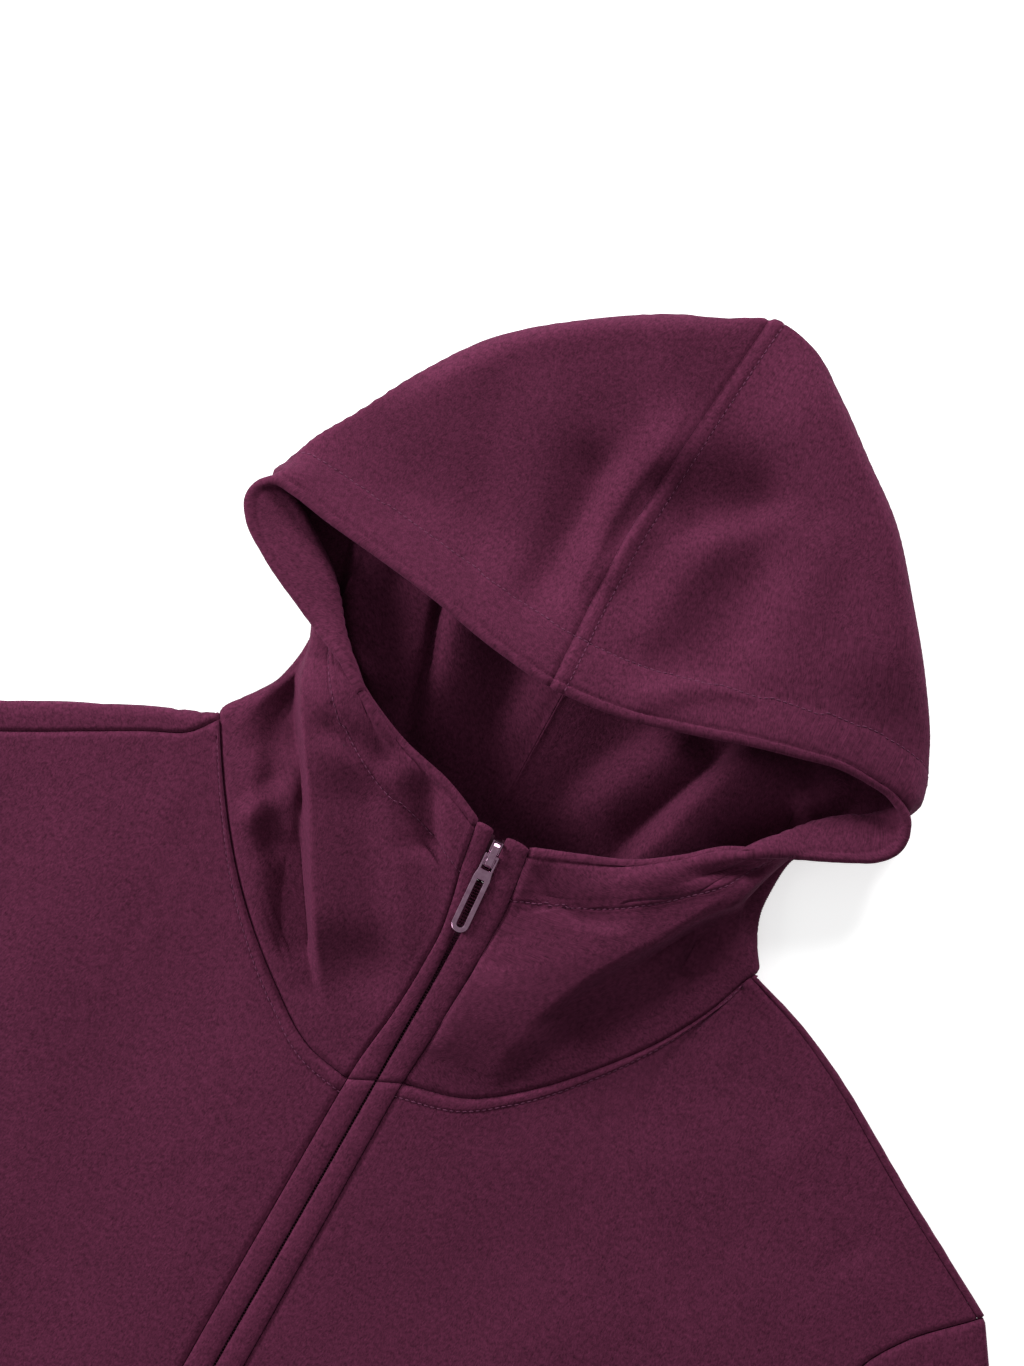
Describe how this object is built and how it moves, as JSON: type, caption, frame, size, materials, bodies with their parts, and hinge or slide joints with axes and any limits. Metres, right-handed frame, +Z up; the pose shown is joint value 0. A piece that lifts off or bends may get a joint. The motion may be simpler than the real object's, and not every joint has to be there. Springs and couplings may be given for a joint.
{
  "type": "zip up hoodie",
  "caption": "Knitted zip-up hoodie laid flat on its back, zip closed to a stand-up collar, the hood's mouth held open by its own folds, with a hinged zip pull.",
  "frame": {"origin": "middle of the garment's length and width, on the surface that it lies on", "axes": "+X to the viewer's right across the garment, from cuff to cuff, +Y up the garment from hem to hood, +Z up off the surface"},
  "size_m": [1.1074, 0.858, 0.0389],
  "materials": {
    "cloth": "soft brushed double knit, burgundy plum with a fine heathered grain and a faint sheen",
    "zip_tape": "close woven tape with nylon teeth, dark plum",
    "tinted_metal": "cast zip metal with a satin mauve silver plating"
  },
  "bodies": {
    "hoodie": {"back": "cloth", "front_left": "cloth", "front_right": "cloth", "hood_left": "cloth", "hood_right": "cloth", "sleeve_left": "cloth", "sleeve_right": "cloth", "placket_body_left": "cloth", "placket_body_right": "cloth", "placket_collar_left": "cloth", "placket_collar_right": "cloth", "zip_tape_left": "zip_tape", "zip_tape_right": "zip_tape", "zip_box": "zip_tape", "zip_slider": "tinted_metal"},
    "pull_tab": {"pull_tab": "tinted_metal"}
  },
  "joints": [
    {"name": "pull_tab_swing", "type": "hinge", "parent": "hoodie", "child": "pull_tab", "pos_m": [0.0048, 0.1879, 0.0277], "axis": [-0.9982, -0.0593, 0], "range_deg": [0, 150]}
  ]
}
